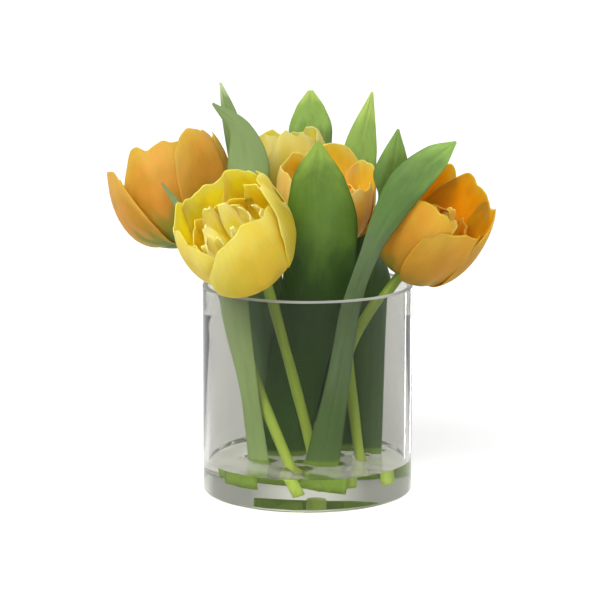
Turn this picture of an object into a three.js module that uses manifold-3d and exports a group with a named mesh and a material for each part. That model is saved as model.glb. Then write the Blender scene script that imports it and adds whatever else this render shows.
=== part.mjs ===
// Glass cylinder vase with five faux double tulips set in clear cast resin.
// Millimetres, +Z up. The origin is the centre of the underside of the vase, and -Y is the front.
import * as THREE from 'three';
import { mergeVertices } from 'three/addons/utils/BufferGeometryUtils.js';
import Module from 'manifold-3d';

const wasm = await Module();
wasm.setup();

// ---- Driving dimensions -------------------------------------------------------------------------
const VASE = { radius: 62.5, height: 125, wall: 3, floor: 4, heel: 2, cove: 3, lip: 1.2, sides: 56 };
const RESIN_DEPTH = 15;
const CLEARANCE = 0.3;
const RESIN_TOP = VASE.floor + CLEARANCE + RESIN_DEPTH;

const STEM = { radius: 3.15, sides: 10, steps: 14, neck: 6, embedded: 13.5 };
const LEAF = { thickness: 0.9, cup: 0.22, rows: 12, columns: 4, embedded: 11.5 };
const PETAL = { thickness: 0.8, rows: 6, columns: 4, halfAngle: 40, layerStep: 1.7, claw: 5.6 };
const PETAL_COUNT = 6;
const HUB = { radius: 4.6, height: 11, sides: 10 };
const INNER = { thickness: 1.4, scallops: 5, ruffle: 0.15, sides: 20, width: 0.36, height: 0.7 };

// ---- Where each bloom sits ------------------------------------------------------------------------
// base is the top of the stem. lean is measured from vertical and toward is its compass direction,
// with 0 along +X and -90 to the front. turn is the angle of the first petal about the bloom's axis.
// stem is its route from the foot, whose height the resin sets, up to the neck below the bloom.
const YELLOW = '#f3cf3a';
const CREAM = '#efd768';
const ORANGE = '#eea43a';
const BLOOMS = {
  front_yellow: {
    base: [-28, -41, 141], lean: 45, toward: -123, turn: -55,
    height: 60, radius: 32.5, mouth: 28, colour: YELLOW,
    stem: [[7, -6], [0, -9, 39], [-13, -19, 92]],
  },
  left_orange: {
    base: [-71, 4, 149], lean: 27, toward: 127, turn: -95,
    height: 62, radius: 33, mouth: 30, colour: ORANGE,
    stem: [[-4, -28], [-31, -12, 67], [-49, 2, 118]],
  },
  centre_orange: {
    base: [14, 13, 149], lean: 20, toward: -105, turn: -35,
    height: 52, radius: 26.3, mouth: 25.5, colour: ORANGE,
    stem: [[33, 2], [27, 9, 55], [21, 16, 112]],
  },
  back_yellow: {
    base: [-11, 53, 156], lean: 4, toward: 135, turn: -70,
    height: 53, radius: 25, mouth: 21, colour: CREAM,
    stem: [[3, 24], [0, 30, 60], [-5, 38, 110]],
  },
  right_orange: {
    base: [57.5, -8, 135.5], lean: 38, toward: -42, turn: -125,
    height: 62, radius: 29.5, mouth: 25, colour: ORANGE,
    stem: [[16, 4], [18, -4, 45], [26, -10, 87]],
  },
};

// ---- Leaves ---------------------------------------------------------------------------------------
// Each station, from foot to tip, is x, y, z, half width, and the compass direction the blade faces.
// A foot's z is left out: every foot is set into the resin.
const LEAF_GREEN = '#6f9a4a';
const LEAF_SAGE = '#93ad70';
const LEAF_DEEP = '#4f7135';
const LEAVES = {
  leaf_left_tall: {
    colour: LEAF_SAGE,
    stations: [
      [-29, -6, null, 8, -125], [-35, -24, 67, 5.5, -100], [-43, -26, 118, 8, -95],
      [-42, -17, 140, 5, -90], [-35, 0, 192, 12.5, -90], [-40, 2, 216, 7, -90], [-56, 2, 232, 0.6, -90],
    ],
  },
  leaf_back_left: {
    colour: LEAF_DEEP,
    stations: [
      [-20, 18, null, 9, -100], [-27, 15, 110, 10, -100], [-36, 20, 172, 8, -95],
      [-46, 24, 220, 5, -90], [-52, 25, 242, 0.6, -90],
    ],
  },
  leaf_left_spike: {
    colour: LEAF_SAGE,
    stations: [
      [-30, 3, null, 3.5, -110], [-37, -17, 67, 3.5, -100], [-50, -19, 122, 3.5, -95],
      [-69, -27, 166, 3, -90], [-85, -28, 189, 0.5, -90],
    ],
  },
  leaf_back_centre: {
    colour: LEAF_GREEN,
    stations: [
      [2, 42, null, 15, -90], [0, 50, 108, 12, -90], [-1, 57, 130, 10, -90], [0, 80, 172, 13, -90],
      [2, 84, 205, 13.5, -90], [2, 86, 231, 0.6, -90],
    ],
  },
  leaf_front_centre: {
    colour: LEAF_DEEP,
    stations: [
      [-15, 10, null, 13, -90], [-6, -2, 75, 18, -90], [5, -20, 122, 19, -90],
      [8, -36, 163, 21, -90], [6, -40, 193, 15, -90], [6, -40, 215, 0.8, -90],
    ],
  },
  leaf_back_right: {
    colour: LEAF_GREEN,
    stations: [
      [20, 22, null, 8, -90], [20, 28, 108, 10, -90], [30, 36, 168, 11, -90],
      [32, 38, 200, 10, -90], [39, 39, 235, 0.6, -90],
    ],
  },
  leaf_right_tall: {
    colour: LEAF_DEEP,
    stations: [
      [37, 15, null, 8, -90], [39, 14, 108, 11, -90], [41, -6, 157, 5.5, -24],
      [46.5, -2, 176, 5.5, -50], [50, -5, 194, 10, -80], [53, -8, 218, 0.6, -90],
    ],
  },
  leaf_right_front: {
    colour: LEAF_GREEN,
    stations: [
      [6, -15, null, 11, -95], [18, -22, 68, 7, -90], [26, -32, 118, 5.5, -85],
      [36, -47, 150, 6, -70], [45, -54, 171, 8.5, -80], [58, -59, 193, 11, -85], [73, -61, 208, 8, -88],
      [84, -62, 217, 0.6, -90],
    ],
  },
};

const GLASS_LOOK = { color: '#dfe7e4', roughness: 0.02, metalness: 0 };
const RESIN_LOOK = { color: '#e6ece6', roughness: 0.03, metalness: 0 };
const STEM_COLOUR = '#a3b84c';
const HUB_COLOUR = '#8aa63f';

const UP = new THREE.Vector3(0, 0, 1);
const degrees = THREE.MathUtils.degToRad;
const vase = new THREE.Group();

// ---- Helpers ----------------------------------------------------------------------------------------
function add(parent, name, geometry, look) {
  const mesh = new THREE.Mesh(geometry, new THREE.MeshStandardMaterial(look));
  mesh.name = name;
  parent.add(mesh);
  return mesh;
}

function soft(colour, roughness = 0.6) {
  return { color: colour, roughness, metalness: 0 };
}

function compass(angle) {
  return new THREE.Vector3(Math.cos(degrees(angle)), Math.sin(degrees(angle)), 0);
}

// A quarter arc from one angle to another, as profile points.
function arc(x, y, radius, from, to, steps = 5) {
  return Array.from({ length: steps + 1 }, (_, i) => {
    const angle = degrees(from + ((to - from) * i) / steps);
    return new THREE.Vector2(x + radius * Math.cos(angle), y + radius * Math.sin(angle));
  });
}

// A profile of (radius, height) points turned about +Z.
function turned(points, sides) {
  return new THREE.LatheGeometry(points, sides).rotateX(Math.PI / 2);
}

// A closed thin sheet that follows surface(s, t), with s from 0 to 1 and t from -1 to 1.
// grow swells it on every side, which makes the cutter for the slot that the sheet sits in.
function closedSheet(surface, rows, columns, thickness, grow = 0) {
  const step = 1e-3;
  const half = thickness / 2 + grow;
  const points = [];
  for (let i = 0; i <= rows; i++) {
    for (let j = 0; j <= columns; j++) {
      const s = i / rows;
      const t = (2 * j) / columns - 1;
      const s0 = Math.min(s, 1 - step);
      const t0 = Math.min(t, 1 - step);
      const origin = surface(s0, t0);
      const along = surface(s0 + step, t0).sub(origin).normalize();
      const across = surface(s0, t0 + step).sub(origin).normalize();
      const normal = along.clone().cross(across).normalize();
      const middle = surface(s, t);
      if (i === 0) middle.addScaledVector(along, -grow);
      if (j === 0) middle.addScaledVector(across, -grow);
      if (j === columns) middle.addScaledVector(across, grow);
      points.push(middle.clone().addScaledVector(normal, half), middle.clone().addScaledVector(normal, -half));
    }
  }
  const front = (i, j) => 2 * (i * (columns + 1) + j);
  const index = [];
  for (let i = 0; i < rows; i++) {
    for (let j = 0; j < columns; j++) {
      const [a, b, c, d] = [front(i, j), front(i + 1, j), front(i + 1, j + 1), front(i, j + 1)];
      index.push(a, b, c, a, c, d, a + 1, c + 1, b + 1, a + 1, d + 1, c + 1);
    }
  }
  const rim = [];
  for (let i = 0; i < rows; i++) rim.push(front(i, 0));
  for (let j = 0; j < columns; j++) rim.push(front(rows, j));
  for (let i = rows; i > 0; i--) rim.push(front(i, columns));
  for (let j = columns; j > 0; j--) rim.push(front(0, j));
  rim.forEach((a, k) => {
    const b = rim[(k + 1) % rim.length];
    index.push(b, a, a + 1, b, a + 1, b + 1);
  });
  return new THREE.BufferGeometry().setFromPoints(points).setIndex(index);
}

function toSolid(geometry) {
  const bare = geometry.clone();
  bare.deleteAttribute('normal');
  bare.deleteAttribute('uv');
  const merged = mergeVertices(bare);
  return new wasm.Manifold(new wasm.Mesh({
    numProp: 3,
    vertProperties: new Float32Array(merged.attributes.position.array),
    triVerts: new Uint32Array(merged.index.array),
  }));
}

function fromSolid(solid) {
  const mesh = solid.getMesh();
  const geometry = new THREE.BufferGeometry();
  geometry.setAttribute('position', new THREE.BufferAttribute(mesh.vertProperties, mesh.numProp));
  return geometry.setIndex(new THREE.BufferAttribute(mesh.triVerts, 1));
}

// ---- The glass ----------------------------------------------------------------------------------------
// A straight tumbler: flat base, rounded heel, rounded lip, and a small cove inside at the floor.
function glassProfile() {
  const { radius, height, wall, floor, heel, cove, lip } = VASE;
  const bore = radius - wall;
  return [
    new THREE.Vector2(0, 0),
    ...arc(radius - heel, heel, heel, -90, 0),
    ...arc(radius - lip, height - lip, lip, 0, 90, 3),
    ...arc(bore + lip, height - lip, lip, 90, 180, 3),
    ...arc(bore - cove, floor + cove, cove, 0, -90, 4),
    new THREE.Vector2(0, floor),
  ];
}

// ---- Stems ----------------------------------------------------------------------------------------------
function bloomAxis({ lean, toward }) {
  return compass(toward).multiplyScalar(Math.sin(degrees(lean))).addScaledVector(UP, Math.cos(degrees(lean)));
}

// From the foot in the resin, through the bends, and into the underside of the bloom along its axis.
function stemPath(bloom, extra = 0) {
  const axis = bloomAxis(bloom);
  const top = new THREE.Vector3(...bloom.base);
  const [foot, ...bends] = bloom.stem;
  return new THREE.CatmullRomCurve3([
    new THREE.Vector3(...foot, RESIN_TOP - STEM.embedded - extra),
    ...bends.map((bend) => new THREE.Vector3(...bend)),
    top.clone().addScaledVector(axis, -STEM.neck),
    top.clone().addScaledVector(axis, -CLEARANCE),
  ]);
}

function tube(path, radius, sides) {
  const section = new THREE.Shape(arc(0, 0, radius, 0, 360, sides).slice(0, sides));
  return new THREE.ExtrudeGeometry(section, { steps: STEM.steps, bevelEnabled: false, extrudePath: path });
}

// ---- Leaves -----------------------------------------------------------------------------------------------
function leafSurface({ stations }) {
  const foot = RESIN_TOP - LEAF.embedded;
  const spine = new THREE.CatmullRomCurve3(stations.map(([x, y, z]) => new THREE.Vector3(x, y, z ?? foot)));
  const shape = new THREE.CatmullRomCurve3(stations.map(([, , , width, facing]) => new THREE.Vector3(width, facing, 0)));
  return (s, t) => {
    const [width, facing] = shape.getPoint(s).toArray();
    const face = compass(facing);
    const across = spine.getTangent(s).cross(face).normalize();
    const fold = LEAF.cup * Math.abs(width) * t * t;
    return spine.getPoint(s).addScaledVector(across, -width * t).addScaledVector(face, -fold);
  };
}

// ---- Petals -------------------------------------------------------------------------------------------------
// The cup's outline, as radius against height above the stem: it swells, then draws in to the mouth.
function cupOutline({ height, radius, mouth }) {
  const swell = 1.165 * radius;
  return new THREE.CubicBezierCurve(
    new THREE.Vector2(PETAL.claw, 1),
    new THREE.Vector2(swell, 0),
    new THREE.Vector2(swell, 0.72 * height),
    new THREE.Vector2(mouth, height),
  );
}

// Each petal laps over the next one: it stands off the cup's outline at one edge and is tucked in at the other.
function petalSurface(bloom, centre) {
  const outline = cupOutline(bloom);
  return (s, t) => {
    const { x: radius, y: height } = outline.getPoint(s);
    const { x: out, y: up } = outline.getTangent(s);
    const breadth = 0.5 * (1 - s) + 0.08 * s + 0.8 * Math.sin(Math.PI * s) ** 0.8;
    const swing = PETAL.halfAngle * breadth * t;
    const lap = (-PETAL.layerStep * swing) / (360 / PETAL_COUNT);
    return compass(centre + swing).multiplyScalar(radius + lap * up).addScaledVector(UP, height - lap * out);
  };
}

// The inner petals are one ruffled piece, joined at its floor and threaded on above the hub.
function innerPetals({ height, radius }) {
  const floor = HUB.height + 3 * CLEARANCE;
  const top = INNER.height * height;
  const outer = new THREE.CubicBezierCurve(
    new THREE.Vector2(3, floor),
    new THREE.Vector2(INNER.width * radius, floor),
    new THREE.Vector2(INNER.width * radius * 1.1, 0.7 * top),
    new THREE.Vector2(INNER.width * radius * 0.9, top),
  ).getPoints(4);
  const inside = outer.map(({ x, y }) => new THREE.Vector2(x - INNER.thickness, y + INNER.thickness)).reverse();
  inside[0].y = top;
  const cup = turned([new THREE.Vector2(0, floor), ...outer, ...inside,
    new THREE.Vector2(0, floor + INNER.thickness)], INNER.sides);
  const place = cup.attributes.position;
  for (let i = 0; i < place.count; i++) {
    const rise = (place.getZ(i) - floor) / (top - floor);
    const angle = Math.atan2(place.getY(i), place.getX(i));
    const swell = 1 + INNER.ruffle * rise * Math.cos(INNER.scallops * angle);
    place.setXY(i, place.getX(i) * swell, place.getY(i) * swell);
  }
  return cup;
}

function hub() {
  const { radius, height, sides } = HUB;
  return turned([
    new THREE.Vector2(0, 0),
    new THREE.Vector2(STEM.radius, 0),
    new THREE.Vector2(radius, 0.3 * height),
    new THREE.Vector2(0.8 * radius, 0.7 * height),
    new THREE.Vector2(0, height),
  ], sides);
}

function addBloom(name, bloom) {
  const head = new THREE.Group();
  head.position.set(...bloom.base);
  head.quaternion.setFromUnitVectors(UP, bloomAxis(bloom));
  vase.add(head);
  add(head, `${name}_hub`, hub(), soft(HUB_COLOUR));
  add(head, `${name}_inner_petals`, innerPetals(bloom), soft(bloom.colour));
  for (let k = 0; k < PETAL_COUNT; k++) {
    const surface = petalSurface(bloom, bloom.turn + (360 / PETAL_COUNT) * k);
    const petal = closedSheet(surface, PETAL.rows, PETAL.columns, PETAL.thickness);
    add(head, `${name}_petal_${k + 1}`, petal, soft(bloom.colour));
  }
}

// ---- Assembly -------------------------------------------------------------------------------------------------
add(vase, 'glass_vase', turned(glassProfile(), VASE.sides), GLASS_LOOK);

const bore = VASE.radius - VASE.wall - CLEARANCE;
const fillFloor = VASE.floor + CLEARANCE;
let resin = toSolid(turned([
  new THREE.Vector2(0, fillFloor),
  ...arc(bore - VASE.cove, fillFloor + VASE.cove, VASE.cove, -90, 0, 4),
  new THREE.Vector2(bore, RESIN_TOP),
  new THREE.Vector2(0, RESIN_TOP),
], VASE.sides));

for (const [name, bloom] of Object.entries(BLOOMS)) {
  add(vase, `${name}_stem`, tube(stemPath(bloom), STEM.radius, STEM.sides), soft(STEM_COLOUR));
  resin = resin.subtract(toSolid(tube(stemPath(bloom, CLEARANCE), STEM.radius + 2 * CLEARANCE, STEM.sides)));
  addBloom(name, bloom);
}

for (const [name, leaf] of Object.entries(LEAVES)) {
  const surface = leafSurface(leaf);
  add(vase, name, closedSheet(surface, LEAF.rows, LEAF.columns, LEAF.thickness), soft(leaf.colour, 0.55));
  resin = resin.subtract(toSolid(closedSheet(surface, LEAF.rows, LEAF.columns, LEAF.thickness, CLEARANCE)));
}

add(vase, 'cast_water', fromSolid(resin), RESIN_LOOK);

export default vase;
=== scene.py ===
import math

import bpy
import numpy as np
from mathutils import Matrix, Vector


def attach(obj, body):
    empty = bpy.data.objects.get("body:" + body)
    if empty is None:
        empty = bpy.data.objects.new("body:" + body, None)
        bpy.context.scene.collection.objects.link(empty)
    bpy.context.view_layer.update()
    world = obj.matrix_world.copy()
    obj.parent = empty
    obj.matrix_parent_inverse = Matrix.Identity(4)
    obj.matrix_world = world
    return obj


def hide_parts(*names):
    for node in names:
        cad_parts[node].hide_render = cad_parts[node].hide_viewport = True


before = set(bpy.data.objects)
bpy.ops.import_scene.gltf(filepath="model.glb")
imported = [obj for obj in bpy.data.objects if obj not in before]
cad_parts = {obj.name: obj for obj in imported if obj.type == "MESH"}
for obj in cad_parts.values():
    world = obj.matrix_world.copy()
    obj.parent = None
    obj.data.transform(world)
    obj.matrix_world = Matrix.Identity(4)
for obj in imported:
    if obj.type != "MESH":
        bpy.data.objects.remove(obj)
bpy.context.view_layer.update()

MM = 0.001

# ---- Sizes ---------------------------------------------------------------------------------------
# They are the CAD part's, but for STEM_FOOT and LEAF_FOOT, how deep the feet go into the resin, and for
# what follows the photo more closely here: the size of the front bloom, the bends of its stem, and the
# widths of leaf_back_left, leaf_back_centre and leaf_front_centre.
GLASS = dict(radius=62.5, height=125.0, wall=3.0, floor=4.0, heel=2.0, cove=3.0, lip=1.2)
RESIN_TOP = 19.3
STEM_RADIUS = 3.15
NECK = 6.0
STEM_FOOT = 14.5
LEAF_FOOT = 13.8
LEAF_CUP = 0.22
CLAW_RADIUS = 5.6
PETALS = 6
LAYER_STEP = 1.7

# Each bloom sits at base, and its axis leans by lean degrees toward a compass direction. turn is the
# direction of its first petal, heart makes the petals at its heart taller, and stem has the stem's foot
# in plan and then two bends.
BLOOMS = {
    "front_yellow": dict(
        base=(-28, -41, 141), lean=45, toward=-123, turn=-55, height=59, radius=31, mouth=27, heart=1.25,
        look="yellow", seed=3, stem=[(7, -6), (-1, -9, 39), (-14.5, -19, 92)]),
    "left_orange": dict(
        base=(-71, 4, 149), lean=27, toward=127, turn=-95, height=62, radius=33, mouth=30,
        look="peach", seed=11, stem=[(-4, -28), (-31, -12, 67), (-49, 2, 118)]),
    "centre_orange": dict(
        base=(14, 13, 149), lean=20, toward=-105, turn=-35, height=52, radius=26.3, mouth=25.5,
        look="orange", seed=23, stem=[(33, 2), (27, 9, 55), (21, 16, 112)]),
    "back_yellow": dict(
        base=(-11, 53, 156), lean=4, toward=135, turn=-70, height=53, radius=25, mouth=21,
        look="cream", seed=31, stem=[(3, 24), (0, 30, 60), (-5, 38, 110)]),
    "right_orange": dict(
        base=(57.5, -8, 135.5), lean=38, toward=-42, turn=-125, height=62, radius=29.5, mouth=25,
        look="gold", seed=47, stem=[(16, 4), (18, -4, 45), (26, -10, 87)]),
}

# Stations of each leaf, foot to tip: x, y, z, half width, and the compass direction that it faces. A foot
# without a height goes LEAF_FOOT into the resin.
LEAVES = {
    "leaf_left_tall": dict(look="sage", stations=[
        (-29, -6, None, 8, -125), (-35, -24, 67, 5.5, -100), (-43, -26, 118, 8, -95),
        (-42, -17, 140, 5, -90), (-35, 0, 192, 12.5, -90), (-40, 2, 216, 7, -90), (-56, 2, 232, 0.6, -90)]),
    "leaf_back_left": dict(look="ashen", stations=[
        (-20, 18, None, 9, -100), (-27, 15, 110, 13.5, -100), (-36, 20, 172, 8, -95),
        (-46, 24, 220, 5, -90), (-52, 25, 242, 0.6, -90)]),
    "leaf_left_spike": dict(look="sage", stations=[
        (-30, 3, None, 3.5, -110), (-37, -17, 67, 3.5, -100), (-50, -19, 122, 3.5, -95),
        (-69, -27, 166, 3, -90), (-85, -28, 189, 0.5, -90)]),
    "leaf_back_centre": dict(look="fresh", stations=[
        (2, 42, 7.8, 15, -90), (0, 50, 108, 12, -90), (-1, 57, 130, 10, -90), (0, 80, 172, 13, -90),
        (2, 84, 205, 13.5, -90), (2, 85.5, 221, 8.5, -90), (2, 86, 231, 1.5, -90)]),
    "leaf_front_centre": dict(look="deep", stations=[
        (-15, 10, None, 13, -90), (-6, -2, 75, 18, -90), (5, -20, 122, 20.5, -90),
        (8, -36, 163, 21, -90), (6, -40, 193, 15, -90), (6, -40, 215, 0.8, -90)]),
    "leaf_back_right": dict(look="fresh", stations=[
        (20, 22, None, 8, -90), (20, 28, 108, 10, -90), (30, 36, 168, 11, -90),
        (32, 38, 200, 10, -90), (39, 39, 235, 0.6, -90)]),
    "leaf_right_tall": dict(look="shade", stations=[
        (37, 15, None, 8, -90), (39, 14, 108, 11, -90), (41, -6, 157, 5.5, -24),
        (46.5, -2, 176, 5.5, -50), (50, -5, 194, 10, -80), (53, -8, 218, 0.6, -90)]),
    "leaf_right_front": dict(look="moss", stations=[
        (6, -15, None, 11, -95), (18, -22, 68, 7, -90), (26, -32, 118, 5.5, -85),
        (36, -47, 150, 6, -70), (45, -54, 171, 8.5, -80), (58, -59, 193, 11, -85), (73, -61, 208, 8, -88),
        (84, -62, 217, 0.6, -90)]),
}


# ---- Curves --------------------------------------------------------------------------------------
def compass(angle):
    """Unit vectors in the XY plane for angles in degrees."""
    a = np.radians(angle)
    return np.stack([np.cos(a), np.sin(a), np.zeros_like(a)], axis=-1)


def spline(points, where):
    """A centripetal Catmull-Rom curve through the points, read at where, from 0 to 1."""
    p = np.asarray(points, float)
    p = np.vstack([2 * p[0] - p[1], p, 2 * p[-1] - p[-2]])
    spans = len(p) - 3
    place = np.clip(np.asarray(where, float) * spans, 0, spans)
    k = np.minimum(place.astype(int), spans - 1)
    u = (place - k)[:, None]
    a, b, c, d = p[k], p[k + 1], p[k + 2], p[k + 3]
    pairs = ((a, b), (b, c), (c, d))
    gap = [np.maximum(np.linalg.norm(y - x, axis=1), 1e-6)[:, None] ** 0.5 for x, y in pairs]
    start = ((b - a) / gap[0] - (c - a) / (gap[0] + gap[1]) + (c - b) / gap[1]) * gap[1]
    end = ((c - b) / gap[1] - (d - b) / (gap[1] + gap[2]) + (d - c) / gap[2]) * gap[1]
    return b + start * u + (3 * (c - b) - 2 * start - end) * u**2 + (2 * (b - c) + start + end) * u**3


def bezier(controls, u):
    """A cubic Bezier curve of four controls, read at an array of places."""
    a, b, c, d = (np.asarray(x, float) for x in controls)
    u = np.asarray(u)[..., None]
    return (1 - u)**3 * a + 3 * (1 - u)**2 * u * b + 3 * (1 - u) * u**2 * c + u**3 * d


def unit(v):
    """Each vector at length 1."""
    return v / np.maximum(np.linalg.norm(v, axis=-1, keepdims=True), 1e-12)


def smooth(low, high, x):
    """0 below low, 1 above high, with a soft step between."""
    u = np.clip((x - low) / (high - low), 0, 1)
    return u * u * (3 - 2 * u)


def waves(rng, x, y, count=4, across=(1.0, 3.0), along=(0.5, 2.0)):
    """A sum of a few random sine waves over x and y, between about -1 and 1."""
    total = np.zeros(np.broadcast(x, y).shape)
    for _ in range(count):
        fx, fy = rng.uniform(*across), rng.uniform(*along)
        total += np.sin(2 * math.pi * (fx * x + fy * y + rng.random()))
    return total / count**0.5


# ---- Meshes --------------------------------------------------------------------------------------
def make_object(name, vertices, faces, places=None):
    """A smooth mesh object from vertices in millimetres. places is one (s, t, side) row for each vertex."""
    mesh = bpy.data.meshes.new(name)
    mesh.from_pydata([tuple(v) for v in np.asarray(vertices) * MM], [], faces)
    mesh.shade_smooth()
    if places is not None:
        attribute = mesh.attributes.new("place", "FLOAT_VECTOR", "POINT")
        attribute.data.foreach_set("vector", np.asarray(places, np.float32).ravel())
    mesh.update()
    piece = bpy.data.objects.new(name, mesh)
    bpy.context.scene.collection.objects.link(piece)
    return piece


def sheet(points, thickness, s, t, flip=False):
    """Vertices, faces and places of a thin closed sheet over a grid of points."""
    rows, columns = points.shape[:2]
    along = np.gradient(points, axis=0)
    across = np.gradient(points, axis=1)
    normal = unit(np.cross(across, along) if flip else np.cross(along, across))
    half = (thickness / 2)[..., None] * normal
    vertices = np.concatenate([(points + half).reshape(-1, 3), (points - half).reshape(-1, 3)])
    back = rows * columns
    faces = []
    for i in range(rows - 1):
        for j in range(columns - 1):
            a = i * columns + j
            b, c, d = a + columns, a + columns + 1, a + 1
            front = (a, d, c, b) if flip else (a, b, c, d)
            faces.append(front)
            faces.append(tuple(v + back for v in reversed(front)))
    rim = [i * columns for i in range(rows - 1)]
    rim += [(rows - 1) * columns + j for j in range(columns - 1)]
    rim += [i * columns + columns - 1 for i in range(rows - 1, 0, -1)]
    rim += [j for j in range(columns - 1, 0, -1)]
    for k, a in enumerate(rim):
        b = rim[(k + 1) % len(rim)]
        faces.append((a, b, b + back, a + back) if flip else (b, a, a + back, b + back))
    flat = np.stack([s, t], axis=-1).reshape(-1, 2)
    front_place = np.hstack([flat, np.ones((back, 1))])
    back_place = np.hstack([flat, np.zeros((back, 1))])
    return vertices, faces, np.concatenate([front_place, back_place])


def joined(sheets):
    """Several sheets as one set of vertices, faces and places."""
    vertices, faces, places, first = [], [], [], 0
    for v, f, p in sheets:
        vertices.append(v)
        places.append(p)
        faces += [tuple(x + first for x in face) for face in f]
        first += len(v)
    return np.concatenate(vertices), faces, np.concatenate(places)


def turned(profile, sides):
    """Vertices and faces of a closed profile of (radius, height) points turned about Z."""
    ring = np.linspace(0, 2 * math.pi, sides, endpoint=False)
    vertices, rows = [], []
    for radius, height in profile:
        if radius < 1e-6:
            rows.append([len(vertices)] * sides)
            vertices.append((0, 0, height))
        else:
            rows.append(list(range(len(vertices), len(vertices) + sides)))
            vertices += [(radius * math.cos(a), radius * math.sin(a), height) for a in ring]
    faces = []
    for low, high in zip(rows, rows[1:]):
        for k in range(sides):
            m = (k + 1) % sides
            corners = dict.fromkeys([low[k], low[m], high[m], high[k]])
            faces.append(tuple(corners))
    return np.array(vertices), faces


def arc(x, y, radius, start, end, steps):
    """Points of an arc about (x, y), from one angle in degrees to another."""
    return [(x + radius * math.cos(math.radians(a)), y + radius * math.sin(math.radians(a)))
            for a in np.linspace(start, end, steps + 1)]


# ---- Materials -----------------------------------------------------------------------------------
def colour(text):
    """A linear RGBA colour from an sRGB hex colour."""
    parts = [int(text[i:i + 2], 16) / 255 for i in (1, 3, 5)]
    return [c / 12.92 if c <= 0.04045 else ((c + 0.055) / 1.055) ** 2.4 for c in parts] + [1.0]


class Nodes:
    """A short way to write a material's node tree."""

    def __init__(self, name):
        self.material = bpy.data.materials.new(name)
        self.material.use_nodes = True
        self.tree = self.material.node_tree
        self.shader = self.tree.nodes["Principled BSDF"]

    def add(self, kind, inputs=None, **settings):
        node = self.tree.nodes.new(kind)
        for key, value in settings.items():
            setattr(node, key, value)
        for key, value in (inputs or {}).items():
            self.put(node.inputs[key], value)
        return node

    def put(self, socket, value):
        if isinstance(value, bpy.types.NodeSocket):
            self.tree.links.new(value, socket)
        else:
            socket.default_value = value

    def maths(self, operation, *values):
        node = self.add("ShaderNodeMath", operation=operation)
        for socket, value in zip(node.inputs, values):
            self.put(socket, value)
        return node.outputs[0]

    def ramp(self, value, stops):
        node = self.add("ShaderNodeValToRGB", {"Fac": value})
        node.color_ramp.interpolation = "EASE"
        elements = node.color_ramp.elements
        while len(elements) < len(stops):
            elements.new(0.5)
        for element, (position, tone) in zip(elements, stops):
            element.position = position
            element.color = colour(tone)
        return node.outputs["Color"]

    def mix(self, factor, first, second, blend="MIX"):
        node = self.add("ShaderNodeMix", data_type="RGBA", blend_type=blend)
        self.put(node.inputs[0], factor)
        self.put(node.inputs[6], first)
        self.put(node.inputs[7], second)
        return node.outputs[2]

    def noise(self, vector, scale, detail=4.0, roughness=0.55):
        node = self.add("ShaderNodeTexNoise", {"Vector": vector, "Scale": scale, "Detail": detail,
                                               "Roughness": roughness})
        return node.outputs["Fac"]

    def bump(self, height, distance, strength):
        """A shading normal from a height, whose full range is a distance in metres."""
        inputs = {"Height": height, "Distance": distance, "Strength": strength}
        return self.add("ShaderNodeBump", inputs).outputs["Normal"]

    def rise(self, value, low, high):
        """0 below low, 1 above high."""
        node = self.add("ShaderNodeMapRange", {"Value": value, "From Min": low, "From Max": high},
                        interpolation_type="SMOOTHSTEP")
        return node.outputs["Result"]

    def glow_through(self, tone, share):
        """Lets a share of the light that falls on a thin sheet's far side show through."""
        through = self.add("ShaderNodeBsdfTranslucent", {"Color": tone}).outputs[0]
        self.blend(share, through)

    def blend(self, share, second):
        """Puts the shader and a second one on the surface, the second with the given share."""
        inputs = {0: share, 1: self.shader.outputs[0], 2: second}
        surface = self.add("ShaderNodeMixShader", inputs).outputs[0]
        self.put(self.tree.nodes["Material Output"].inputs["Surface"], surface)

    def grey(self, value):
        return self.add("ShaderNodeCombineColor", {"Red": value, "Green": value, "Blue": value}).outputs[0]

    def scatter(self, weight, radius, scale):
        """Light that goes into the piece and comes out near by."""
        self.shader.inputs["Subsurface Weight"].default_value = weight
        self.shader.inputs["Subsurface Radius"].default_value = radius
        self.shader.inputs["Subsurface Scale"].default_value = scale

    def place(self):
        """The sheet's own coordinates: s along it, t across it, and side, 1 on its front."""
        node = self.add("ShaderNodeAttribute", attribute_name="place")
        split = self.add("ShaderNodeSeparateXYZ", {"Vector": node.outputs["Vector"]})
        return split.outputs

    def stretched(self, place, across, along):
        """A vector for a noise over the sheet: the larger across is against along, the longer its streaks."""
        s, t, side = place
        inputs = {"X": self.maths("MULTIPLY", t, across), "Y": self.maths("MULTIPLY", s, along), "Z": side}
        return self.add("ShaderNodeCombineXYZ", inputs).outputs[0]


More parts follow.
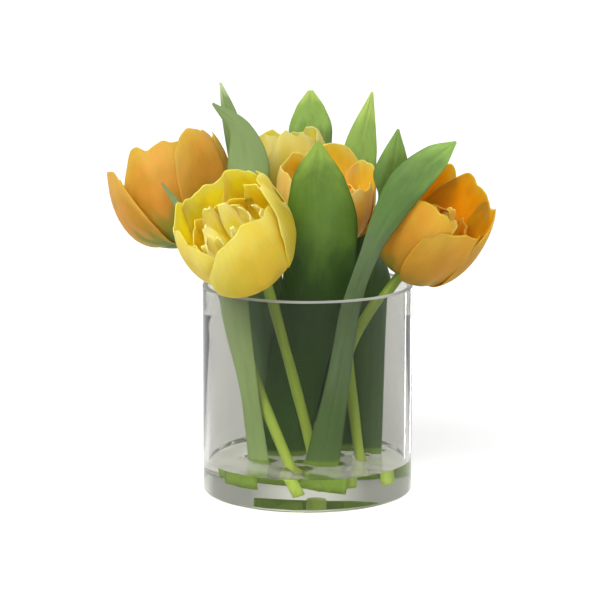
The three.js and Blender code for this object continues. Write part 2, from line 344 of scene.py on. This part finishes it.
# Each look has ramps for the outside, from claw to rim, for the inside, from heart to rim, and for the small
# petals at the heart, and the colour of the blush that lies on it in patches. The inside ramps are the
# petals' own inner colour set brighter, partly painted light that lifts the shade inside the cups, and the
# orange outside ramp is set lighter in the same way for petals that lie in the leaves' shade.
PETAL_LOOKS = {
    "yellow": dict(
        outside=[(0.0, "#b87418"), (0.2, "#bc962a"), (0.55, "#c6b030"), (1.0, "#dcca60")],
        inside=[(0.0, "#f8bc10"), (0.4, "#ffd418"), (0.75, "#ffe428"), (1.0, "#faea70")],
        heart=[(0.0, "#f4cc20"), (0.5, "#fdf058"), (1.0, "#fdf6a4")], blush="#dcb42e"),
    "cream": dict(
        outside=[(0.0, "#8f8e30"), (0.3, "#b8a63a"), (0.65, "#c8b64c"), (1.0, "#d6c472")],
        inside=[(0.0, "#d0a414"), (0.45, "#dcbc28"), (0.8, "#e6cc48"), (1.0, "#e4d47c")],
        heart=[(0.0, "#e0b020"), (0.5, "#ecd050"), (1.0, "#f4e290")], blush="#cfb040"),
    "peach": dict(
        outside=[(0.0, "#52701a"), (0.28, "#8a8424"), (0.52, "#b4821f"), (1.0, "#c89c3c")],
        inside=[(0.0, "#c07c08"), (0.4, "#d88e10"), (0.8, "#dc9c24"), (1.0, "#dca844")],
        heart=[(0.0, "#e09c1c"), (0.5, "#f2c048"), (1.0, "#f8d880")], blush="#d8903a"),
    "orange": dict(
        outside=[(0.0, "#8a8a30"), (0.25, "#c69838"), (0.6, "#dcb04e"), (1.0, "#e6c474")],
        inside=[(0.0, "#e6a018"), (0.4, "#f4b428"), (0.8, "#f6c240"), (1.0, "#f2cc6c")],
        heart=[(0.0, "#f4a814"), (0.5, "#ffca44"), (1.0, "#ffdc78")], blush="#e0a440"),
    "gold": dict(
        outside=[(0.0, "#4c6016"), (0.28, "#7e741e"), (0.52, "#b0801f"), (1.0, "#c49632")],
        inside=[(0.0, "#cc7802"), (0.4, "#de8a04"), (0.8, "#e0980e"), (1.0, "#d8a038")],
        heart=[(0.0, "#e8a818"), (0.5, "#fac83c"), (1.0, "#fcdc70")], blush="#bc801c"),
}
THIN_SHEET_GLOW = 0.15


def petal_material(name, outer, inner, blush):
    """A matt petal. outer is the ramp of the side whose place has side 1, inner of the other."""
    n = Nodes(name)
    place = n.place()
    s, _, side = place
    veins = n.noise(n.stretched(place, 14.0, 1.6), 2.2, detail=6.0)
    blotch = n.noise(n.stretched(place, 1.2, 1.5), 1.7, detail=2.0)
    drift = n.maths("MULTIPLY_ADD", n.maths("SUBTRACT", blotch, 0.5), 0.5, s)
    base = n.mix(side, n.ramp(drift, inner), n.ramp(drift, outer))
    cloud = n.noise(n.stretched(place, 1.5, 2.6), 1.3, detail=1.0)
    base = n.mix(n.maths("MULTIPLY", n.rise(cloud, 0.42, 0.66), 0.45), base, colour(blush))
    final = n.mix(0.75, base, n.grey(n.maths("MULTIPLY_ADD", veins, 0.22, 0.89)), "MULTIPLY")
    n.put(n.shader.inputs["Base Color"], final)
    n.put(n.shader.inputs["Roughness"], n.maths("MULTIPLY_ADD", veins, 0.2, 0.44))
    n.scatter(1.0, (1.0, 0.85, 0.3), 0.003)
    n.shader.inputs["Specular IOR Level"].default_value = 0.18
    fine = n.noise(n.stretched(place, 60.0, 9.0), 1.5)
    height = n.maths("ADD", veins, n.maths("MULTIPLY", fine, 0.3))
    n.put(n.shader.inputs["Normal"], n.bump(height, 0.0005, 0.35))
    n.glow_through(final, THIN_SHEET_GLOW)
    return n.material


# Each look has a ramp for the front, from foot to tip, and the paler colour of the back. Where a front ramp
# is darker at the foot than at the tip, that dark is painted shade, laid on the leaf's lower part inside the
# vase.
LEAF_LOOKS = {
    "sage": dict(
        front=[(0.0, "#96b06c"), (0.35, "#9ab070"), (0.55, "#839a5e"), (1.0, "#7c935a")],
        back="#9fb083"),
    "fresh": dict(
        front=[(0.0, "#345010"), (0.5, "#36521a"), (0.8, "#8cac50"), (1.0, "#aec662")],
        back="#8fa277"),
    "moss": dict(
        front=[(0.0, "#4c6a2c"), (0.22, "#647c50"), (0.42, "#586f42"), (0.65, "#527232"), (1.0, "#86aa4e")],
        back="#8fa277"),
    "shade": dict(
        front=[(0.0, "#3c5a1c"), (0.4, "#3a581e"), (0.65, "#567634"), (1.0, "#7ea04c")],
        back="#8fa277"),
    "deep": dict(
        front=[(0.0, "#345a08"), (0.4, "#284804"), (0.7, "#54741f"), (1.0, "#88a440")],
        back="#7b9460"),
    "ashen": dict(
        front=[(0.0, "#50703c"), (0.5, "#5e7850"), (0.85, "#80995c"), (1.0, "#bcc99a")],
        back="#8fa277"),
}
# Painted light: the bright yellow-green that a leaf takes below the resin's top stands in for the light on
# its foot there.
LEAF_PAINTED_LIGHT_UNDER_RESIN = "#72901c"


def leaf_material(name):
    look = LEAF_LOOKS[name]
    n = Nodes(f"leaf_{name}")
    place = n.place()
    s, _, side = place
    lines = n.noise(n.stretched(place, 26.0, 1.2), 1.6, detail=5.0)
    patch = n.noise(n.stretched(place, 1.0, 5.0), 1.3, detail=3.0)
    # The front ramp's darker foot is painted shade.
    front = n.ramp(n.maths("MULTIPLY_ADD", n.maths("SUBTRACT", patch, 0.5), 0.4, s), look["front"])
    base = n.mix(n.maths("MULTIPLY", n.maths("SUBTRACT", 1.0, side), 0.7), front, colour(look["back"]))
    where = n.add("ShaderNodeTexCoord").outputs["Object"]
    height = n.add("ShaderNodeSeparateXYZ", {0: where}).outputs["Z"]
    # Painted light: below the resin's top the leaf takes the bright colour above.
    painted_light_under_resin = n.rise(height, (RESIN_TOP + 2) * MM, (RESIN_TOP - 2) * MM)
    base = n.mix(painted_light_under_resin, base, colour(LEAF_PAINTED_LIGHT_UNDER_RESIN))
    shade = n.maths("ADD", n.maths("MULTIPLY_ADD", lines, 0.3, 0.72), n.maths("MULTIPLY", patch, 0.26))
    final = n.mix(0.85, base, n.grey(shade), "MULTIPLY")
    n.put(n.shader.inputs["Base Color"], final)
    n.put(n.shader.inputs["Roughness"], n.maths("MULTIPLY_ADD", lines, 0.18, 0.38))
    n.scatter(0.15, (0.5, 1.0, 0.2), 0.0015)
    n.shader.inputs["Specular IOR Level"].default_value = 0.4
    n.put(n.shader.inputs["Normal"], n.bump(lines, 0.0005, 0.5))
    n.glow_through(final, THIN_SHEET_GLOW)
    return n.material


def stem_material():
    n = Nodes("stem")
    s, t, _ = n.place()
    streaks = n.noise(n.stretched((s, t, 0.0), 6.0, 2.0), 2.0, detail=5.0)
    # Painted shade: the ramp is darker through the middle, the part of the stem that stands in the vase's
    # shade.
    base = n.ramp(s, [(0.0, "#98ae38"), (0.35, "#80962c"), (0.75, "#7a922e"), (1.0, "#94a640")])
    tint = n.grey(n.maths("MULTIPLY_ADD", streaks, 0.4, 0.8))
    n.put(n.shader.inputs["Base Color"], n.mix(0.8, base, tint, "MULTIPLY"))
    n.put(n.shader.inputs["Roughness"], n.maths("MULTIPLY_ADD", streaks, 0.2, 0.35))
    n.scatter(0.12, (0.6, 1.0, 0.2), 0.0015)
    n.put(n.shader.inputs["Normal"], n.bump(streaks, 0.0003, 0.4))
    return n.material


CAST_RIPPLE = 0.04 * MM
LAMP_LIGHT_THROUGH = (0.92, 0.92, 0.91, 1)


def clear_material(name, tint, ripple=CAST_RIPPLE, gloss=0.2, roughness=0.0, clear=1.0, ior=1.5):
    """Clear glass or resin. Light from the lamps goes straight through it, so that what it holds is lit."""
    n = Nodes(name)
    n.shader.inputs["Base Color"].default_value = colour(tint)
    n.shader.inputs["Roughness"].default_value = roughness
    n.shader.inputs["IOR"].default_value = ior
    n.shader.inputs["Transmission Weight"].default_value = clear
    n.shader.inputs["Specular Tint"].default_value = (gloss, gloss, gloss, 1)
    place = n.add("ShaderNodeTexCoord").outputs["Object"]
    n.put(n.shader.inputs["Normal"], n.bump(n.noise(place, 25.0, detail=1.0), ripple, 0.3))
    shadow = n.add("ShaderNodeLightPath").outputs["Is Shadow Ray"]
    n.blend(shadow, n.add("ShaderNodeBsdfTransparent", {"Color": LAMP_LIGHT_THROUGH}).outputs[0])
    return n.material


# ---- Pieces --------------------------------------------------------------------------------------
def finish_piece(piece, material, slot, *nodes):
    piece.data.materials.append(material)
    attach(piece, "root")
    if nodes:
        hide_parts(*nodes)


CLEAR_SIDES = 192
BOND_GAP = 0.02
WALL, LIP, BASE, BOND = range(4)  # the glass's material slots


def glass_profile():
    """The glass's outline, from the middle of its underside round to the middle of its floor."""
    g = GLASS
    bore = g["radius"] - g["wall"]
    return ([(0, 0)]
            + arc(g["radius"] - g["heel"], g["heel"], g["heel"], -90, 0, 10)
            + [(g["radius"], RESIN_TOP)]
            + arc(g["radius"] - g["lip"], g["height"] - g["lip"], g["lip"], 0, 90, 6)
            + arc(bore + g["lip"], g["height"] - g["lip"], g["lip"], 90, 180, 6)
            + [(bore, RESIN_TOP)]
            + arc(bore - g["cove"], g["floor"] + g["cove"], g["cove"], 0, -90, 8)
            + [(0, g["floor"])])


def build_glass(wall, lip, base, bond):
    """The glass, turned in one piece. Its lip, its base and the faces bonded to the resin look different."""
    piece = make_object("glass_cylinder", *turned(glass_profile(), CLEAR_SIDES))
    finish_piece(piece, wall, "clear_glass", "glass_vase")
    for finish in (lip, base, bond):
        piece.data.materials.append(finish)
    slack = 0.1
    bore = GLASS["radius"] - GLASS["wall"] + slack
    for face in piece.data.polygons:
        height = face.center.z / MM
        inner = face.center.xy.length / MM < bore and height > GLASS["floor"] - slack
        if height > GLASS["height"] - GLASS["lip"]:
            face.material_index = LIP
        elif height < RESIN_TOP:
            face.material_index = BOND if inner else BASE
        else:
            face.material_index = WALL
    return piece


def foot_points():
    """Where each stem and leaf goes into the resin, as short segments in plan with a half thickness."""
    feet = [(np.array(b["stem"][0][:2]), np.array(b["stem"][0][:2]), STEM_RADIUS) for b in BLOOMS.values()]
    for leaf in LEAVES.values():
        x, y, _, width, facing = leaf["stations"][0]
        side = compass(facing + 90)[:2] * width
        feet.append((np.array([x, y]) - side, np.array([x, y]) + side, 0.5))
    return feet


CLIMB, CLIMB_REACH, MOST_CLIMB = 1.0, 2.4, 2.2


def resin_height(x, y):
    """Height of the resin's surface: it climbs everything that stands in it."""
    climb = np.zeros(len(x))
    for start, end, half in foot_points():
        span = end - start
        along = ((x - start[0]) * span[0] + (y - start[1]) * span[1]) / max(span @ span, 1e-9)
        along = np.clip(along, 0, 1)
        gap = np.hypot(x - start[0] - along * span[0], y - start[1] - along * span[1]) - half
        climb = climb + CLIMB * np.exp(-np.maximum(gap, 0) / CLIMB_REACH)
    swell = 0.07 * np.sin(x / 6.1 + 0.7) * np.cos(y / 6.3) + 0.02 * np.sin((x + y) / 3.7)
    return RESIN_TOP + np.minimum(climb, MOST_CLIMB) + swell


def build_resin(material, bond):
    """The cast resin. Its sides and underside are bonded to the glass and neither bend nor mirror light."""
    bore = GLASS["radius"] - GLASS["wall"] - BOND_GAP
    floor = GLASS["floor"] + BOND_GAP
    side = [(0, floor)] + arc(bore - GLASS["cove"], floor + GLASS["cove"], GLASS["cove"], -90, 0, 8)
    rings = bore * (1 - (1 - np.linspace(1, 0, 70)) ** 1.6)
    profile = side + [(r, RESIN_TOP) for r in rings[:-1]] + [(0, RESIN_TOP)]
    vertices, faces = turned(profile, CLEAR_SIDES)
    on_top = vertices[:, 2] >= RESIN_TOP - 1e-6
    vertices[on_top, 2] = resin_height(vertices[on_top, 0], vertices[on_top, 1])
    piece = make_object("cast_resin", vertices, faces)
    finish_piece(piece, material, "cast_resin", "cast_water")
    piece.data.materials.append(bond)
    for face in piece.data.polygons:
        face.material_index = int(not all(on_top[v] for v in face.vertices))


def bloom_frame(bloom):
    """Rows are the bloom's own X, Y and axis, turned from vertical by the shortest way."""
    lean, toward = math.radians(bloom["lean"]), math.radians(bloom["toward"])
    flat = math.sin(lean)
    axis = np.array([flat * math.cos(toward), flat * math.sin(toward), math.cos(lean)])
    hinge = np.array([-math.sin(toward), math.cos(toward), 0])
    turn = math.cos(lean)
    cross = np.array([[0, -hinge[2], hinge[1]], [hinge[2], 0, -hinge[0]], [-hinge[1], hinge[0], 0]])
    matrix = turn * np.eye(3) + flat * cross + (1 - turn) * np.outer(hinge, hinge)
    return matrix.T, axis


def build_stem(name, bloom, material):
    _, axis = bloom_frame(bloom)
    top = np.array(bloom["base"], float)
    foot, *bends = bloom["stem"]
    points = [(*foot, RESIN_TOP - STEM_FOOT), *bends, top - NECK * axis, top - 0.3 * axis, top + 3 * axis]
    steps, sides = 90, 24
    s = np.linspace(0, 1, steps)
    line = spline(points, s)
    tangent = unit(np.gradient(line, axis=0))
    across = unit(np.cross(tangent, [0.0, 1.0, 0.0]))
    other = np.cross(tangent, across)
    rng = np.random.default_rng(bloom["seed"])
    radius = STEM_RADIUS * (1 + 0.03 * waves(rng, s, 0 * s, across=(2, 9)))
    radius = radius + 1.3 * smooth(0.93, 1.0, s)
    angle = np.linspace(0, 2 * math.pi, sides, endpoint=False)
    ribs = 1 + 0.02 * np.cos(5 * angle)
    ring = (radius[:, None] * ribs)[..., None]
    cosine, sine = np.cos(angle)[None, :, None], np.sin(angle)[None, :, None]
    circle = cosine * across[:, None] + sine * other[:, None]
    vertices = (line[:, None] + ring * circle).reshape(-1, 3)
    faces = []
    for i in range(steps - 1):
        for j in range(sides):
            k = (j + 1) % sides
            faces.append((i * sides + j, (i + 1) * sides + j, (i + 1) * sides + k, i * sides + k))
    faces.append(tuple(range(sides)))
    faces.append(tuple(reversed(range((steps - 1) * sides, steps * sides))))
    around = np.abs(angle / math.pi - 1)
    places = np.stack(np.broadcast_arrays(s[:, None], around[None, :], 1.0), axis=-1).reshape(-1, 3)
    piece = make_object(f"{name}_stem_fine", vertices, faces, places)
    finish_piece(piece, material, "stem_green", f"{name}_stem")


def build_leaf(name, leaf, material, slot):
    foot = RESIN_TOP - LEAF_FOOT
    stations = [(x, y, foot if z is None else z, w, f) for x, y, z, w, f in leaf["stations"]]
    rows, columns = 110, 21
    rng = np.random.default_rng(len(name) * 7 + 1)
    s = np.linspace(0, 1, rows)
    t = np.linspace(-1, 1, columns)
    line = spline([p[:3] for p in stations], s)
    shape = spline([(w, f, 0) for *_, w, f in stations], s)
    width, facing = shape[:, 0], shape[:, 1]
    tangent = unit(np.gradient(line, axis=0))
    face = compass(facing)
    across = unit(np.cross(tangent, face))
    S, T = np.meshgrid(s, t, indexing="ij")
    W = width[:, None]
    fold = LEAF_CUP * np.abs(W) * T**2
    groove = 0.35 * np.exp(-(T / 0.09) ** 2) * smooth(0.0, 4.0, W)
    flutter = 0.05 * W * waves(rng, 0 * T, S, count=3, across=(0, 0), along=(2.0, 5.0)) * T**2
    flutter = flutter + 0.012 * W * waves(rng, T, S, count=4, across=(0.5, 2.0), along=(2.0, 6.0))
    depth = (fold + groove - flutter)[..., None]
    points = line[:, None] - (W * T)[..., None] * across[:, None] - depth * face[:, None]
    thickness = 0.85 - 0.45 * T**4
    vertices, faces, places = sheet(points, thickness, S, T)
    piece = make_object(f"{name}_blade", vertices, faces, places)
    finish_piece(piece, material, slot, name)


def cup_outline(height, radius, mouth, claw=CLAW_RADIUS, low=1.0):
    """The controls of a bloom's outline: radius and height from the claw at low to the mouth."""
    swell = 1.165 * radius
    return [(claw, low), (swell, low - 1), (swell, 0.72 * height), (mouth, height)]


def petal_sheet(rng, outline, centre, half_angle, rise=1.0, spread=0.0, curl=0.0, ruffle=1.0, drop=0.24,
                lift=0.0, lap=LAYER_STEP, lobes=1.0, body=0.75, rows=46, columns=41):
    """One petal in its bloom's own frame, wrapped on the cup's outline about the compass direction centre.

    rise is its share of the cup's height, drop how far its corners fall, lobes the waves of its rim, spread
    the degrees that it leans out, lift how far out it sits, lap how much one edge stands out past the other,
    curl how far its rim turns out, ruffle the strength of its folds, and body its thickness.
    """
    s = np.linspace(0, 1, rows)
    t = np.linspace(-1, 1, columns)
    S, T = np.meshgrid(s, t, indexing="ij")
    phase = rng.random(5) * 2 * math.pi
    crown = 1 - drop * np.abs(T) ** 3
    crown = crown + lobes * (0.020 * np.sin(4.6 * T + phase[0]) + 0.013 * np.sin(9.5 * T + phase[1]))
    crown = crown + lobes * 0.003 * np.sin(21 * T + phase[4])
    U = S * rise * crown
    profile = bezier(outline, np.clip(U, 0, 1.12))
    ahead = bezier(outline, np.clip(U + 0.01, 0, 1.13))
    direction = unit(ahead - profile)
    out, up = direction[..., 0], direction[..., 1]
    breadth = 0.55 + 0.49 * np.sin(0.5 * math.pi * np.minimum(S / 0.62, 1)) - 0.07 * smooth(0.7, 1.0, S)
    swing = half_angle * breadth * T
    offset = lift - lap * swing / (360 / PETALS)
    offset = offset + curl * smooth(0.6, 1.0, S) ** 2
    frill = smooth(0.4, 1.0, S) * (0.45 + 0.55 * np.abs(T))
    offset = offset + ruffle * (1.0 * np.sin(3.4 * T + phase[2]) + 0.6 * np.sin(8.0 * T + phase[3])) * frill
    folds = waves(rng, T, S, count=5, across=(0.4, 1.6), along=(0.2, 0.9))
    offset = offset + 0.45 * ruffle * folds * smooth(0.1, 0.5, S)
    offset = offset - 0.35 * np.exp(-(T / 0.12) ** 2) * smooth(0.15, 0.5, S)
    radial = profile[..., 0] + offset * up
    height = profile[..., 1] - offset * out
    lean = math.radians(spread) * smooth(0.0, 0.6, S)
    pivot = outline[0]
    dx, dz = radial - pivot[0], height - pivot[1]
    radial = pivot[0] + dx * np.cos(lean) + dz * np.sin(lean)
    height = pivot[1] - dx * np.sin(lean) + dz * np.cos(lean)
    points = compass(centre + swing) * radial[..., None]
    points[..., 2] = height
    thickness = body * (1 - 0.6 * np.maximum(np.abs(T) ** 4, S**6))
    return sheet(points, thickness, S, T, flip=True)


def in_part_frame(bloom, vertices):
    """Vertices of a bloom's own frame in the part's frame."""
    rows, _ = bloom_frame(bloom)
    return np.array(bloom["base"], float) + vertices @ rows


# How each bloom's petals differ from the common shape, by number.
OUTER = {
    "front_yellow": {
        1: dict(shift=-5, half_angle=65, rise=0.98, lift=0.6),
        2: dict(rise=1.02, lobes=2.4, curl=2.5),
        3: dict(shift=-8, rise=0.88, lobes=2.8),
        4: dict(shift=-15, rise=0.84, lobes=2.8, curl=1.5),
        5: dict(shift=-28, rise=0.86, lobes=2.6, curl=1.5),
        6: dict(shift=-34, half_angle=48, rise=0.98)},
    "left_orange": {
        1: dict(shift=-2, half_angle=46, rise=0.90, lobes=2.2, drop=0.33),
        2: dict(lift=0.8, rise=0.97, lobes=1.0),
        5: dict(rise=0.84),
        6: dict(shift=-4, half_angle=38, rise=0.86, spread=4, lift=0.6, lap=-2.0, drop=0.55, lobes=0.6)},
    "centre_orange": {
        1: dict(rise=0.80),
        2: dict(rise=0.84, lobes=0.7, drop=0.4),
        3: dict(rise=0.98, lobes=0.9),
        4: dict(rise=0.96, lobes=0.9),
        6: dict(rise=0.8)},
    "back_yellow": {},
    "right_orange": {
        1: dict(half_angle=54, rise=0.97),
        2: dict(shift=8, half_angle=50, rise=0.85, lift=0.5, drop=0.08, lobes=0.5),
        3: dict(shift=4, rise=1.0, curl=1.0, drop=0.2)},
}


def build_petals(name, bloom, material, slot):
    outline = cup_outline(bloom["height"], bloom["radius"], bloom["mouth"])
    for k in range(PETALS):
        rng = np.random.default_rng(bloom["seed"] * 100 + k)
        rise, curl = 0.96 + 0.06 * rng.random(), -1.0 + 2 * rng.random()
        shape = dict(half_angle=46, rise=rise, curl=curl, drop=0.27, lobes=1.7)
        shape.update(OUTER[name].get(k + 1, {}))
        centre = bloom["turn"] + 360 / PETALS * k + shape.pop("shift", 0)
        vertices, faces, places = petal_sheet(rng, outline, centre, **shape)
        piece = make_object(f"{name}_petal_{k + 1}_fine", in_part_frame(bloom, vertices), faces, places)
        finish_piece(piece, material, slot, f"{name}_petal_{k + 1}")


# Sizes are shares of the bloom's own, and pale is how much of the heart's colour a ring takes.
INNER_RINGS = [
    dict(count=6, start=30, half_angle=35, radius=0.84, mouth=0.74, height=0.62, claw=4.5, low=4.5,
         ruffle=1.3, curl=(-3, 1), lobes=1.6, drop=0.35, body=1.0, pale=0.0),
    dict(count=8, start=5, half_angle=18, radius=0.62, mouth=0.62, height=0.60, claw=4.0, low=6.5,
         ruffle=0.9, curl=(-1, 5), lobes=0.7, drop=0.50, body=1.5, pale=0.9),
    dict(count=6, start=40, half_angle=24, radius=0.38, mouth=0.46, height=0.64, claw=3.0, low=8.5,
         ruffle=0.9, curl=(0, 6), lobes=0.7, drop=0.50, body=1.5, pale=1.0),
]


def build_inner_petals(name, bloom, material, slot):
    """Rings of small ruffled petals round the heart of the bloom."""
    sheets = []
    heart = bloom.get("heart", 1.0)
    for r, ring in enumerate(INNER_RINGS):
        for k in range(ring["count"]):
            rng = np.random.default_rng(bloom["seed"] * 1000 + r * 10 + k)
            height = ring["height"] * heart * bloom["height"] * rng.uniform(0.86, 1.08)
            mouth = ring["mouth"] * bloom["radius"] * rng.uniform(0.7, 1.15)
            outline = cup_outline(height, ring["radius"] * bloom["radius"], mouth, ring["claw"], ring["low"])
            centre = bloom["turn"] + ring["start"] + 360 / ring["count"] * k + rng.uniform(-9, 9)
            curl = rng.uniform(*ring["curl"])
            vertices, faces, places = petal_sheet(
                rng, outline, centre, ring["half_angle"], ruffle=ring["ruffle"], curl=curl, drop=ring["drop"],
                lobes=ring["lobes"], body=ring["body"], lap=1.2, rows=34, columns=31)
            places[:, 2] = ring["pale"]
            sheets.append((vertices, faces, places))
    vertices, faces, places = joined(sheets)
    piece = make_object(f"{name}_inner_ruffle", in_part_frame(bloom, vertices), faces, places)
    finish_piece(piece, material, slot, f"{name}_inner_petals")


def dress_hub(name, material):
    """Gives the CAD hub, which only shows between the petals, the stem's look."""
    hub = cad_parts[f"{name}_hub"]
    hub.data.materials.clear()
    hub.data.materials.append(material)


# ---- Stage ---------------------------------------------------------------------------------------
def build_camera():
    data = bpy.data.cameras.new("camera")
    data.lens = 167.5
    data.sensor_width = 36.0
    data.clip_start = 0.05
    data.clip_end = 60.0
    camera = bpy.data.objects.new("camera", data)
    elevation, distance = math.radians(10.2), 1.662
    x, y, z = -0.0045, 0.0, 0.1147  # what it looks at
    camera.location = (x, y - distance * math.cos(elevation), z + distance * math.sin(elevation))
    camera.rotation_euler = (math.pi / 2 - elevation, 0, 0)
    bpy.context.scene.collection.objects.link(camera)
    bpy.context.scene.camera = camera


def build_floor():
    size = 12.0
    corners = [(-size, -size, 0), (size, -size, 0), (size, size, 0), (-size, size, 0)]
    mesh = bpy.data.meshes.new("floor")
    mesh.from_pydata(corners, [], [(0, 1, 2, 3)])
    floor = bpy.data.objects.new("floor", mesh)
    floor.location.z = -0.3 * MM
    bpy.context.scene.collection.objects.link(floor)
    n = Nodes("floor")
    n.shader.inputs["Base Color"].default_value = (0.45, 0.45, 0.45, 1)
    n.shader.inputs["Roughness"].default_value = 0.7
    n.shader.inputs["Emission Color"].default_value = (1, 1, 1, 1)
    n.shader.inputs["Emission Strength"].default_value = 0.55
    mesh.materials.append(n.material)


def aim_at(lamp, place, aim):
    lamp.location = place
    lamp.rotation_euler = (Vector(aim) - Vector(place)).to_track_quat("-Z", "Y").to_euler()
    bpy.context.scene.collection.objects.link(lamp)


def sun(name, place, strength, angle):
    data = bpy.data.lights.new(name, "SUN")
    data.energy, data.angle = strength, math.radians(angle)
    aim_at(bpy.data.objects.new(name, data), place, (0, 0, 0))


# Brightness of the studio by the height of a direction and by its sideways part, the second brought from
# -1..1 into 0..1. Low and level directions are bright and the ceiling is darker. Straight behind and far
# to the right it is white, and the walls between are grey.
STUDIO_BY_HEIGHT = [(0.30, 0.95), (0.55, 0.26)]
STUDIO_SIDEWAYS = [(0.30, 0.50), (0.44, 1.0), (0.56, 1.0), (0.70, 0.50), (0.90, 0.50), (0.95, 1.0)]


def grey_ramp(tree, value, stops):
    ramp = tree.nodes.new("ShaderNodeValToRGB")
    tree.links.new(value, ramp.inputs["Fac"])
    elements = ramp.color_ramp.elements
    while len(elements) < len(stops):
        elements.new(0.5)
    for element, (position, grey) in zip(elements, stops):
        element.position = position
        element.color = (grey, grey, grey, 1)
    return ramp.outputs["Color"]


def build_world():
    world = bpy.data.worlds.new("studio")
    bpy.context.scene.world = world
    world.use_nodes = True
    tree = world.node_tree
    split = tree.nodes.new("ShaderNodeSeparateXYZ")
    tree.links.new(tree.nodes.new("ShaderNodeTexCoord").outputs["Generated"], split.inputs[0])
    sideways = tree.nodes.new("ShaderNodeMath")
    sideways.operation = "MULTIPLY_ADD"
    tree.links.new(split.outputs["X"], sideways.inputs[0])
    sideways.inputs[1].default_value = sideways.inputs[2].default_value = 0.5
    both = tree.nodes.new("ShaderNodeMix")
    both.data_type, both.blend_type = "RGBA", "MULTIPLY"
    both.inputs[0].default_value = 1.0
    tree.links.new(grey_ramp(tree, split.outputs["Z"], STUDIO_BY_HEIGHT), both.inputs[6])
    tree.links.new(grey_ramp(tree, sideways.outputs[0], STUDIO_SIDEWAYS), both.inputs[7])
    tree.links.new(both.outputs[2], tree.nodes["Background"].inputs["Color"])


def upright_strip(name, mirror, place, aim, width, height=0.12, power=0.02):
    """A small standing lamp that only the mirror piece shows, as an upright line on it."""
    data = bpy.data.lights.new(name, "AREA")
    data.shape = "RECTANGLE"
    data.size, data.size_y, data.energy = width, height, power
    lamp = bpy.data.objects.new(name, data)
    aim_at(lamp, (*place, height / 2), (*aim, height / 2))
    lamp.visible_camera = False
    lamp.visible_transmission = False
    lamp.visible_diffuse = False
    receivers = bpy.data.collections.new(f"{name}_receivers")
    receivers.objects.link(mirror)
    lamp.light_linking.receiver_collection = receivers


def build_lights(mirror):
    """Three broad soft suns, and standing strips that draw upright lines on the glass."""
    sun("key", (-0.55, -0.9, 1.0), 2.8, 35)
    sun("front", (0.2, -1.0, 0.75), 1.15, 50)
    sun("back", (0.3, 1.0, 1.1), 1.0, 50)
    upright_strip("strip_right", mirror, (0.099, 0.081), (0.0614, -0.0119), width=0.003)
    upright_strip("strip_far_right", mirror, (0.128, 0.047), (0.0577, -0.0239), width=0.004)


# ---- Assembly ------------------------------------------------------------------------------------
build_camera()
build_floor()
build_world()
bpy.context.scene.view_settings.view_transform = "Standard"
light_paths = bpy.context.scene.cycles
light_paths.max_bounces = 32
light_paths.diffuse_bounces = 8
light_paths.glossy_bounces = 16
light_paths.transmission_bounces = 32
light_paths.transparent_max_bounces = 32

bond = clear_material("bond", "#ffffff", ripple=0.0, gloss=0.0, ior=1.0)
glass = build_glass(
    # Painted shade: the wall's grey tint darkens what shows through it, standing in for a darker room seen
    # through the glass.
    clear_material("clear_glass", "#d2d2cd"),
    # Painted highlight: the lip's rough, half-clear pale grey paints the light band that light caught on the
    # rim gives.
    clear_material("pale_lip_painted_highlight", "#b4b4b0", gloss=1.0, roughness=0.35, clear=0.55),
    clear_material("base_glass", "#cccec0", gloss=0.5),
    bond)
build_lights(glass)
build_resin(clear_material("cast_resin", "#fafaf6", gloss=1.0), bond)

stem_look = stem_material()
petal_looks = {
    name: petal_material(f"petal_{name}", look["outside"], look["inside"], look["blush"])
    for name, look in PETAL_LOOKS.items()}
heart_looks = {
    name: petal_material(f"heart_{name}", look["heart"], look["inside"], blush=look["heart"][1][1])
    for name, look in PETAL_LOOKS.items()}
leaf_looks = {look: leaf_material(look) for look in LEAF_LOOKS}
petal_slots = {"yellow": "petal_yellow", "cream": "petal_cream"}
leaf_slots = {"sage": "leaf_sage", "fresh": "leaf_green", "moss": "leaf_green", "deep": "leaf_deep",
              "ashen": "leaf_deep", "shade": "leaf_deep"}

for name, bloom in BLOOMS.items():
    look = petal_looks[bloom["look"]]
    slot = petal_slots.get(bloom["look"], "petal_orange")
    build_stem(name, bloom, stem_look)
    build_petals(name, bloom, look, slot)
    build_inner_petals(name, bloom, heart_looks[bloom["look"]], slot)
    dress_hub(name, stem_look)

for name, leaf in LEAVES.items():
    build_leaf(name, leaf, leaf_looks[leaf["look"]], leaf_slots[leaf["look"]])
